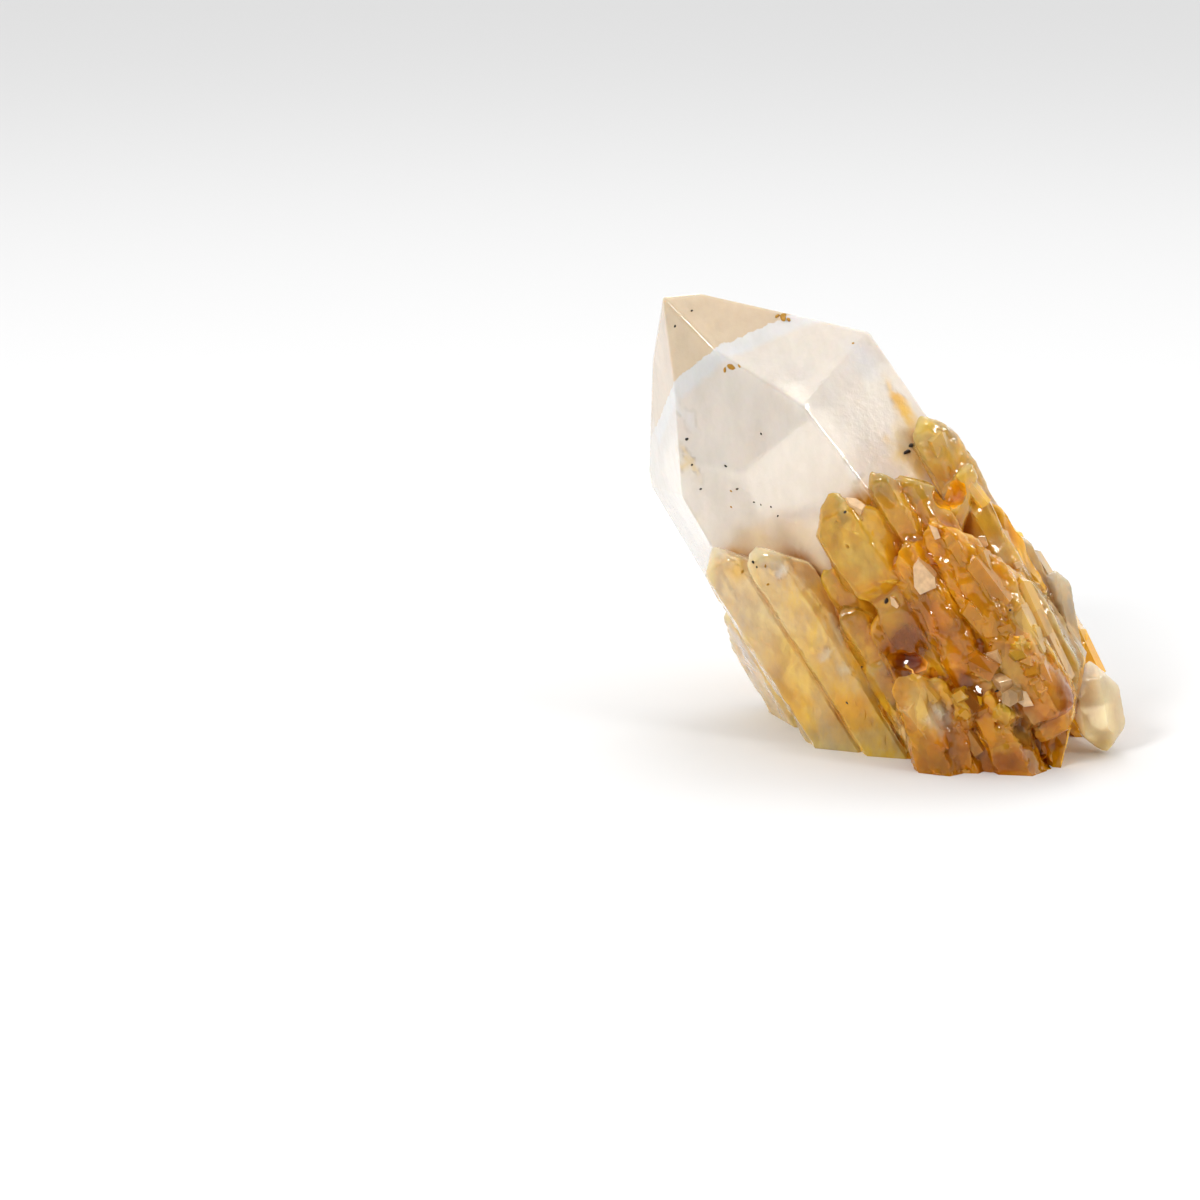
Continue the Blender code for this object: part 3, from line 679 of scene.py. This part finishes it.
def quartzMaterial(plane):
    material, tree = freshMaterial("iron-stained rock crystal")
    place = addNode(tree, "ShaderNodeTexCoord").outputs["Object"]
    growth = addNode(tree, "ShaderNodeAttribute", {"attribute_name": "growth"})
    parts = addNode(tree, "ShaderNodeSeparateColor", links={0: growth.outputs["Color"]})
    luck, rise, kindStain = parts.outputs[0], parts.outputs[1], parts.outputs[2]
    # Clouds and veils are drawn out along the growth
    along = addNode(tree, "ShaderNodeMapping",
                    values={"Rotation": (0, math.atan2(-growthAxis.x, growthAxis.z), 0), "Scale": (1, 1, 0.4)},
                    links={"Vector": place})
    clouds = addNode(tree, "ShaderNodeTexNoise", values={"Scale": 0.28 / mm, "Detail": 6, "Roughness": 0.62},
                     links={"Vector": along.outputs[0]})
    fine = addNode(tree, "ShaderNodeTexNoise", values={"Scale": 0.7 / mm, "Detail": 4, "Roughness": 0.6},
                   links={"Vector": place})
    steps = ((kindStain, 1.0), (luck, 0.16), (rise, 0.22), (clouds.outputs["Fac"], 0.55), (fine.outputs["Fac"], 0.14))
    total = None
    for source, share in steps:
        if total is None:
            total = source
            continue
        total = addNode(tree, "ShaderNodeMath", {"operation": "MULTIPLY_ADD"}, {1: share},
                        {0: source, 2: total}).outputs[0]
    amount = addNode(tree, "ShaderNodeMath", {"operation": "SUBTRACT", "use_clamp": True}, {1: 0.52},
                     {0: total}).outputs[0]
    # The clear crystal stays out of it
    isStained = addNode(tree, "ShaderNodeMath", {"operation": "GREATER_THAN"}, {1: 0.05}, {0: kindStain}).outputs[0]
    amount = addNode(tree, "ShaderNodeMath", {"operation": "MULTIPLY"}, links={0: amount, 1: isStained}).outputs[0]
    ramp = addNode(tree, "ShaderNodeValToRGB", links={"Fac": amount})
    while len(ramp.color_ramp.elements) < len(stainRamp):
        ramp.color_ramp.elements.new(0.5)
    for element, (position, colour) in zip(ramp.color_ramp.elements, stainRamp):
        element.position, element.color = position, linearColour(colour)
    banded = addNode(tree, "ShaderNodeMix", {"data_type": "RGBA"}, links={
        0: isStained, 6: clearColours(tree, place, clouds.outputs["Fac"], fine.outputs["Fac"], plane),
        7: ramp.outputs["Color"]})
    # The patches: stains, with painted shade and painted highlights
    stainsAndLight = addNode(tree, "ShaderNodeAttribute", {"attribute_name": "stainsAndLight"})
    stained = addNode(tree, "ShaderNodeMix", {"data_type": "RGBA"},
                      links={0: stainsAndLight.outputs["Alpha"], 6: banded.outputs[2], 7: stainsAndLight.outputs["Color"]})
    # Each crystal and each small cloud is a little lighter or darker
    shade = addNode(tree, "ShaderNodeMapRange", values={"From Min": 0.3, "From Max": 0.7, "To Min": 0.78,
                                                       "To Max": 1.26}, links={"Value": clouds.outputs["Fac"]})
    cloudy = addNode(tree, "ShaderNodeMapRange", values={"To Min": 0.3, "To Max": 1.0}, links={"Value": isStained})
    shaded = addNode(tree, "ShaderNodeMix", {"data_type": "RGBA", "blend_type": "MULTIPLY"},
                     links={0: cloudy.outputs[0], 6: stained.outputs[2], 7: shade.outputs[0]})
    # Cracks and growth faces inside turn patches of it lighter and darker
    bent = addNode(tree, "ShaderNodeVectorMath", {"operation": "MULTIPLY_ADD"}, {1: (1.4 * mm,) * 3},
                   {0: fine.outputs["Color"], 2: along.outputs[0]})
    cells = addNode(tree, "ShaderNodeTexVoronoi", values={"Scale": 0.5 / mm}, links={"Vector": bent.outputs[0]})
    cellParts = addNode(tree, "ShaderNodeSeparateColor", links={0: cells.outputs["Color"]})
    inner = addNode(tree, "ShaderNodeMapRange", values={"To Min": 0.72, "To Max": 1.34},
                    links={"Value": cellParts.outputs[0]})
    innerShare = addNode(tree, "ShaderNodeMapRange", values={"From Min": 0.48, "From Max": 0.72, "To Min": 0.05,
                                                            "To Max": 0.5}, links={"Value": kindStain})
    shaded = addNode(tree, "ShaderNodeMix", {"data_type": "RGBA", "blend_type": "MULTIPLY"},
                     links={0: innerShare.outputs[0], 6: shaded.outputs[2], 7: inner.outputs[0]})
    # Hollows are darkened and tinted gold-brown, as painted shade and as iron oxide gathered in them; sharp places are
    # painted lighter
    crevices = addNode(tree, "ShaderNodeAttribute", {"attribute_name": "crevices"})
    hollows = addNode(tree, "ShaderNodeSeparateColor", links={0: crevices.outputs["Color"]})
    rustAndShade = addNode(tree, "ShaderNodeMix", {"data_type": "RGBA", "blend_type": "MULTIPLY"},
                   {7: linearColour("#BE861C")}, {0: hollows.outputs[0], 6: shaded.outputs[2]})
    pale = addNode(tree, "ShaderNodeMapRange", values={"To Min": 1.0, "To Max": 1.3}, links={"Value": hollows.outputs[1]})
    shaded = addNode(tree, "ShaderNodeMix", {"data_type": "RGBA", "blend_type": "MULTIPLY"}, {0: 1.0},
                     {6: rustAndShade.outputs[2], 7: pale.outputs[0]})
    polish = addNode(tree, "ShaderNodeMapRange", values={"From Min": 0.1, "From Max": 0.5, "To Min": 1.0,
                                                        "To Max": 0.8}, links={"Value": kindStain})
    hillocks = addNode(tree, "ShaderNodeBump", values={"Strength": 0.35, "Distance": 0.2 * mm},
                       links={"Height": fine.outputs["Fac"]})
    shader = addNode(tree, "ShaderNodeBsdfPrincipled",
                     values={"IOR": 1.544, "Roughness": 0.16, "Coat Roughness": 0.04, "Subsurface Weight": 0.3,
                             "Subsurface Scale": 2 * mm, "Subsurface Radius": (1.0, 0.75, 0.45),
                             "Specular IOR Level": 0.12},
                     links={"Coat Weight": polish.outputs[0],
                            "Base Color": shaded.outputs[2], "Transmission Weight": growth.outputs["Alpha"],
                            "Normal": hillocks.outputs[0]})
    absorb = addNode(tree, "ShaderNodeVolumeAbsorption",
                     values={"Color": linearColour("#E8CFA4"), "Density": 8.0})
    addNode(tree, "ShaderNodeOutputMaterial", links={"Surface": shader.outputs[0], "Volume": absorb.outputs[0]})
    return material


stoneMesh, stoneTree = stoneSkin()
stone = addPiece("quartz", stoneMesh, quartzMaterial(photoPlane(stoneTree, frostAndReflectionBand["pixels"])))
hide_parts(stoneNode)
print("quartz:", len(stone.data.polygons), "faces")


# One small quartz crystal, a unit in radius, with its point at the top
def crystalSeed(name, length, lift):
    mesh = bmesh.new()
    picks = random.Random(len(name))
    rims = []
    for height in (-length, 0.0):
        rims.append([mesh.verts.new((math.cos(math.radians(60 * i)), math.sin(math.radians(60 * i)), height))
                     for i in range(6)])
    low, high = rims
    for i, v in enumerate(high):
        v.co.z += 0.35 * (i % 2) + picks.uniform(-0.15, 0.15)
    tip = mesh.verts.new((0.12, 0.08, lift))
    for i in range(6):
        j = (i + 1) % 6
        mesh.faces.new((low[i], low[j], high[j], high[i]))
        mesh.faces.new((high[i], high[j], tip))
    mesh.faces.new(low[::-1])
    bmesh.ops.triangulate(mesh, faces=mesh.faces[:])
    bmesh.ops.recalc_face_normals(mesh, faces=mesh.faces[:])
    data = bpy.data.meshes.new(name)
    mesh.to_mesh(data)
    mesh.free()
    return bpy.data.objects.new(name, data)


# Small crystals on the skin: "along" ones lie parallel to the growth axis, "crushed" ones every way
druseKinds = {
    "side_points": {"where": "druse", "density": 0.15e6, "small": 0.8 * mm, "large": 1.9 * mm, "spread": 0.10,
                    "outward": 0.16, "sink": -1.25 * mm, "length": 4.0, "lift": 1.0, "seed": 11},
    "crushed_points": {"where": "crushed", "density": 0.5e6, "small": 0.5 * mm, "large": 1.5 * mm, "spread": 1.0,
                       "outward": 0.55, "sink": -0.75 * mm, "length": 2.2, "lift": 0.9, "seed": 4},
}


def druseTree(kind):
    tree = bpy.data.node_groups.new("small crystals on a skin", "GeometryNodeTree")
    tree.interface.new_socket("Geometry", in_out="OUTPUT", socket_type="NodeSocketGeometry")
    for name, socket in (("Geometry", "Geometry"), ("Crystal", "Object"), ("Density", "Float"), ("Smallest", "Float"),
                         ("Largest", "Float"), ("Spread", "Float"), ("Outward", "Float"), ("Sink", "Float"),
                         ("Material", "Material")):
        tree.interface.new_socket(name, in_out="INPUT", socket_type="NodeSocket" + socket)
    given = addNode(tree, "NodeGroupInput").outputs
    where = addNode(tree, "GeometryNodeInputNamedAttribute", {"data_type": "FLOAT"}, {"Name": kind["where"]})
    density = addNode(tree, "ShaderNodeMath", {"operation": "MULTIPLY"},
                      links={0: where.outputs["Attribute"], 1: given["Density"]})
    points = addNode(tree, "GeometryNodeDistributePointsOnFaces", values={"Seed": kind["seed"]},
                     links={"Mesh": given["Geometry"], "Density": density.outputs[0]})
    down = addNode(tree, "ShaderNodeVectorMath", {"operation": "SCALE"},
                   links={0: points.outputs["Normal"], "Scale": given["Sink"]})
    sunk = addNode(tree, "GeometryNodeSetPosition", links={"Geometry": points.outputs["Points"],
                                                          "Offset": down.outputs[0]})
    way = addNode(tree, "ShaderNodeMix", {"data_type": "VECTOR"}, {4: growthAxis},
                  {0: given["Outward"], 5: points.outputs["Normal"]})
    aligned = addNode(tree, "FunctionNodeAlignRotationToVector", {"axis": "Z"}, links={"Vector": way.outputs[1]})
    opposite = addNode(tree, "ShaderNodeMath", {"operation": "MULTIPLY"}, {1: -1.0}, {0: given["Spread"]})
    tilt = addNode(tree, "FunctionNodeRandomValue", {"data_type": "FLOAT_VECTOR"}, {"Seed": kind["seed"] + 1},
                   {0: opposite.outputs[0], 1: given["Spread"]})
    turn = addNode(tree, "FunctionNodeEulerToRotation", links={0: tilt.outputs[0]})
    turned = addNode(tree, "FunctionNodeRotateRotation", {"rotation_space": "LOCAL"},
                     links={"Rotation": aligned.outputs[0], "Rotate By": turn.outputs[0]})
    size = addNode(tree, "FunctionNodeRandomValue", {"data_type": "FLOAT"}, {"Seed": kind["seed"] + 2},
                   {2: given["Smallest"], 3: given["Largest"]})
    crystal = addNode(tree, "GeometryNodeObjectInfo", links={"Object": given["Crystal"]})
    grown = addNode(tree, "GeometryNodeInstanceOnPoints",
                    links={"Points": sunk.outputs[0], "Instance": crystal.outputs["Geometry"],
                           "Rotation": turned.outputs[0], "Scale": size.outputs[1]})
    real = addNode(tree, "GeometryNodeRealizeInstances", links={0: grown.outputs[0]})
    painted = addNode(tree, "GeometryNodeSetMaterial", links={"Geometry": real.outputs[0],
                                                             "Material": given["Material"]})
    addNode(tree, "NodeGroupOutput", links={0: painted.outputs[0]})
    return tree


def growDruse(name, kind, material):
    seed = crystalSeed(name + "_seed", kind["length"], kind["lift"])
    carrier = bpy.data.objects.new(name + "_carrier", stone.data)
    bpy.context.scene.collection.objects.link(carrier)
    grow = carrier.modifiers.new("druse", "NODES")
    grow.node_group = druseTree(kind)
    sockets = {item.name: item.identifier for item in grow.node_group.interface.items_tree if item.in_out == "INPUT"}
    for label, value in (("Crystal", seed), ("Density", kind["density"]), ("Smallest", kind["small"]),
                         ("Largest", kind["large"]), ("Spread", kind["spread"]), ("Outward", kind["outward"]),
                         ("Sink", kind["sink"]), ("Material", material)):
        grow[sockets[label]] = value
    data = bpy.data.meshes.new_from_object(carrier.evaluated_get(bpy.context.evaluated_depsgraph_get()))
    bpy.data.objects.remove(carrier)
    bpy.data.objects.remove(seed)
    data.name = name
    low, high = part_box(stoneNode)
    for v in data.vertices:
        v.co = Vector([min(max(c, l), h) for c, l, h in zip(v.co, low, high)])
    data.materials.clear()
    addPiece(name, data, material)
    print(name + ":", len(data.polygons), "faces")


for name, kind in druseKinds.items():
    growDruse(name, kind, stone.data.materials[0])


def plainMaterial(name, colour, roughness, coat=0.0, transmission=0.0, ior=1.5):
    material, tree = freshMaterial(name)
    place = addNode(tree, "ShaderNodeTexCoord").outputs["Object"]
    grain = addNode(tree, "ShaderNodeTexNoise", values={"Scale": 1.2 / mm, "Detail": 3}, links={"Vector": place})
    shade = addNode(tree, "ShaderNodeMapRange", values={"From Min": 0.3, "From Max": 0.7, "To Min": 0.8, "To Max": 1.1},
                    links={"Value": grain.outputs["Fac"]})
    paint = addNode(tree, "ShaderNodeMix", {"data_type": "RGBA", "blend_type": "MULTIPLY"},
                    {0: 1.0, 6: linearColour(colour)}, {7: shade.outputs[0]})
    shader = addNode(tree, "ShaderNodeBsdfPrincipled",
                     values={"Roughness": roughness, "Coat Weight": coat, "Coat Roughness": 0.04, "IOR": ior,
                             "Transmission Weight": transmission}, links={"Base Color": paint.outputs[2]})
    addNode(tree, "ShaderNodeOutputMaterial", links={"Surface": shader.outputs[0]})
    return material


# Bright faces of quartz that catch the light among the amber: the pixels of their corners
brightFaces = (
    ((918, 559), (913, 567), (914, 587), (920, 595), (936, 588), (935, 578)),
    ((890, 597), (891, 605), (897, 609), (899, 606), (894, 598)),
    ((1024, 687), (1016, 701), (1024, 707), (1034, 706)),
    ((929, 525), (935, 540), (941, 538), (937, 528)),
    ((975, 543), (980, 550), (988, 546), (985, 536), (979, 536)),
    ((1014, 563), (1017, 569), (1023, 566), (1020, 561)),
    ((985, 655), (992, 668), (1001, 664), (996, 652)),
    ((990, 676), (997, 694), (1006, 690), (1001, 672)),
    ((846, 497), (850, 504), (862, 510), (866, 505), (856, 498)),
)
faceHabit = {"lift": 0.5, "deep": 2.0, "spread": 1.06, "toCamera": 0.5}


def brightFaceMesh():
    mesh = bmesh.new()
    for corners in brightFaces:
        u = sum(corner[0] for corner in corners) / len(corners)
        v = sum(corner[1] for corner in corners) / len(corners)
        middle, look = photoPoint(stoneTree, u, v)
        if middle is None:
            print("face misses the stone at", u, v)
            continue
        look = (look - photoRay(u, v) * faceHabit["toCamera"]).normalized()
        middle = middle + look * faceHabit["lift"] * mm
        top, bottom = [], []
        for u, v in corners:
            ray = photoRay(u, v)
            reach = (middle - photoView["place"]).dot(look) / ray.dot(look)
            place = photoView["place"] + ray * reach
            top.append(mesh.verts.new(place))
            sunk = middle + (place - middle) * faceHabit["spread"] - look * faceHabit["deep"] * mm
            bottom.append(mesh.verts.new(sunk))
        mesh.faces.new(top)
        mesh.faces.new(bottom[::-1])
        for i in range(len(top)):
            j = (i + 1) % len(top)
            mesh.faces.new((top[j], top[i], bottom[i], bottom[j]))
    bmesh.ops.recalc_face_normals(mesh, faces=mesh.faces[:])
    bmesh.ops.bevel(mesh, geom=mesh.edges[:], offset=0.08 * mm, segments=2, profile=0.5, affect="EDGES")
    low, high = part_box(stoneNode)
    for vert in mesh.verts:
        vert.co = Vector([min(max(c, l), h) for c, l, h in zip(vert.co, low, high)])
    data = bpy.data.meshes.new("bright_faces")
    mesh.to_mesh(data)
    mesh.free()
    return data


# Pale faces of rock crystal, their light colour partly a painted highlight
addPiece("bright_faces", brightFaceMesh(), plainMaterial("pale rock crystal with painted highlight", "#F2CC9A", 0.12, coat=1.0,
                                                        transmission=0.35, ior=1.544))

# Grains that sit on the stone: pixel, half length and half height in mm
blackGrains = (
    ((675, 326), 0.22, 0.12), ((692, 311), 0.20, 0.12), ((687, 439), 0.34, 0.16), ((761, 434), 0.18, 0.1),
    ((692, 465), 0.22, 0.12), ((726, 466), 0.26, 0.14), ((701, 489), 0.22, 0.12), ((737, 489), 0.24, 0.12),
    ((754, 502), 0.16, 0.1), ((761, 505), 0.16, 0.1), ((771, 507), 0.16, 0.1), ((778, 516), 0.18, 0.1),
    ((907, 452), 0.55, 0.3), ((911, 446), 0.42, 0.3), ((1004, 593), 0.45, 0.3), ((886, 601), 0.42, 0.25),
    ((997, 691), 0.35, 0.2), ((862, 667), 0.22, 0.14), ((847, 703), 0.22, 0.14), ((1010, 610), 0.2, 0.12),
    ((753, 562), 0.25, 0.14), ((757, 567), 0.2, 0.12), ((845, 512), 0.25, 0.14),
)
rustGrains = (
    ((783, 317), 0.75, 0.22), ((777, 316), 0.40, 0.18), ((789, 320), 0.35, 0.16), ((731, 367), 0.62, 0.2),
    ((725, 370), 0.40, 0.16), ((739, 366), 0.32, 0.15), ((853, 343), 0.2, 0.12), ((731, 491), 0.2, 0.1),
    ((731, 507), 0.18, 0.1), ((847, 546), 0.35, 0.16), ((862, 520), 0.26, 0.12), ((836, 522), 0.24, 0.12),
    ((742, 572), 0.3, 0.14), ((765, 566), 0.24, 0.12), ((768, 584), 0.28, 0.12), ((1080, 745), 0.4, 0.2),
)


def grainMesh(name, grains, ragged):
    mesh = bmesh.new()
    for (u, v), length, height in grains:
        place, look = photoPoint(stoneTree, u, v)
        if place is None:
            print(name, "grain misses the stone at", u, v)
            continue
        turn = look.to_track_quat("Z", "Y").to_matrix().to_4x4()
        size = Matrix.Diagonal((length * mm, 0.6 * length * mm, height * mm, 1))
        spin = Matrix.Rotation(u * 0.7, 4, "Z")
        made = bmesh.ops.create_icosphere(mesh, subdivisions=2, radius=1.0,
                                          matrix=Matrix.Translation(place) @ turn @ spin @ size)
        for vert in made["verts"]:
            vert.co += noise.noise_vector(vert.co / mm * 1.7) * ragged * height * mm
    low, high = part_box(stoneNode)
    for vert in mesh.verts:
        vert.co = Vector([min(max(c, l), h) for c, l, h in zip(vert.co, low, high)])
    data = bpy.data.meshes.new(name)
    mesh.to_mesh(data)
    mesh.free()
    return data


addPiece("black_grains", grainMesh("black_grains", blackGrains, 0.8),
         plainMaterial("manganese oxide", "#241A12", 0.5))
addPiece("rust_grains", grainMesh("rust_grains", rustGrains, 1.0),
         plainMaterial("iron oxide crust", "#A87C26", 0.6))
print("faces and grains done")


def paleFloor():
    mesh = bmesh.new()
    bmesh.ops.create_grid(mesh, x_segments=1, y_segments=1, size=6.0)
    data = bpy.data.meshes.new("floor")
    mesh.to_mesh(data)
    mesh.free()
    floor = bpy.data.objects.new("floor", data)
    bpy.context.scene.collection.objects.link(floor)
    material, tree = freshMaterial("matt white card")
    shader = addNode(tree, "ShaderNodeBsdfDiffuse", values={"Color": linearColour("#D5D5D5")})
    addNode(tree, "ShaderNodeOutputMaterial", links={"Surface": shader.outputs[0]})
    data.materials.append(material)


def softLight(name, place, aim, size, power):
    light = bpy.data.lights.new(name, "AREA")
    light.shape = "SQUARE"
    light.size = size
    light.energy = power
    lamp = bpy.data.objects.new(name, light)
    lamp.location = place
    lamp.rotation_euler = (Vector(aim) - Vector(place)).to_track_quat("-Z", "Y").to_euler()
    bpy.context.scene.collection.objects.link(lamp)


# A white sweep behind and above, and a dim room behind the camera
room = {"behind": 1.15, "front": 0.15, "above": 0.5}


def whiteRoom():
    world = bpy.data.worlds.new("white sweep in a dim room")
    world.use_nodes = True
    bpy.context.scene.world = world
    tree = world.node_tree
    way = addNode(tree, "ShaderNodeSeparateXYZ", links={0: addNode(tree, "ShaderNodeTexCoord").outputs["Generated"]})
    lifted = addNode(tree, "ShaderNodeMath", {"operation": "MULTIPLY_ADD"}, {1: room["above"]},
                     {0: way.outputs["Z"], 2: way.outputs["Y"]})
    glow = addNode(tree, "ShaderNodeMapRange", {"interpolation_type": "SMOOTHSTEP"},
                   {"From Min": -0.6, "From Max": 0.3, "To Min": room["front"], "To Max": room["behind"]},
                   {"Value": lifted.outputs[0]})
    back = tree.nodes["Background"]
    back.inputs["Color"].default_value = (1, 1, 1, 1)
    tree.links.new(glow.outputs[0], back.inputs["Strength"])


def photoCamera():
    camera = bpy.data.cameras.new("camera")
    camera.lens = photoView["lens"]
    camera.sensor_width = photoView["sensor"]
    camera.clip_end = 30
    eye = bpy.data.objects.new("camera", camera)
    eye.location = photoView["place"]
    eye.rotation_euler = (math.radians(90 - photoView["down"]), 0, 0)
    bpy.context.scene.collection.objects.link(eye)
    bpy.context.scene.camera = eye


paleFloor()
whiteRoom()
softLight("softbox_over", (0.0, 0.35, 0.8), (0, 0, 0.02), 0.3, 1.0)
softLight("softbox_left", (-0.45, -0.6, 0.5), (0, 0, 0.03), 0.2, 3.6)
softLight("softbox_right", (0.6, -0.45, 0.5), (0, 0, 0.03), 0.15, 1.4)
photoCamera()
scene = bpy.context.scene
scene.view_settings.view_transform = "Standard"
scene.view_settings.look = "Medium High Contrast"
# Light finds its way out of the many faces
scene.cycles.max_bounces = 24
scene.cycles.diffuse_bounces = 8
scene.cycles.glossy_bounces = 16
scene.cycles.transmission_bounces = 24
print("stage set")
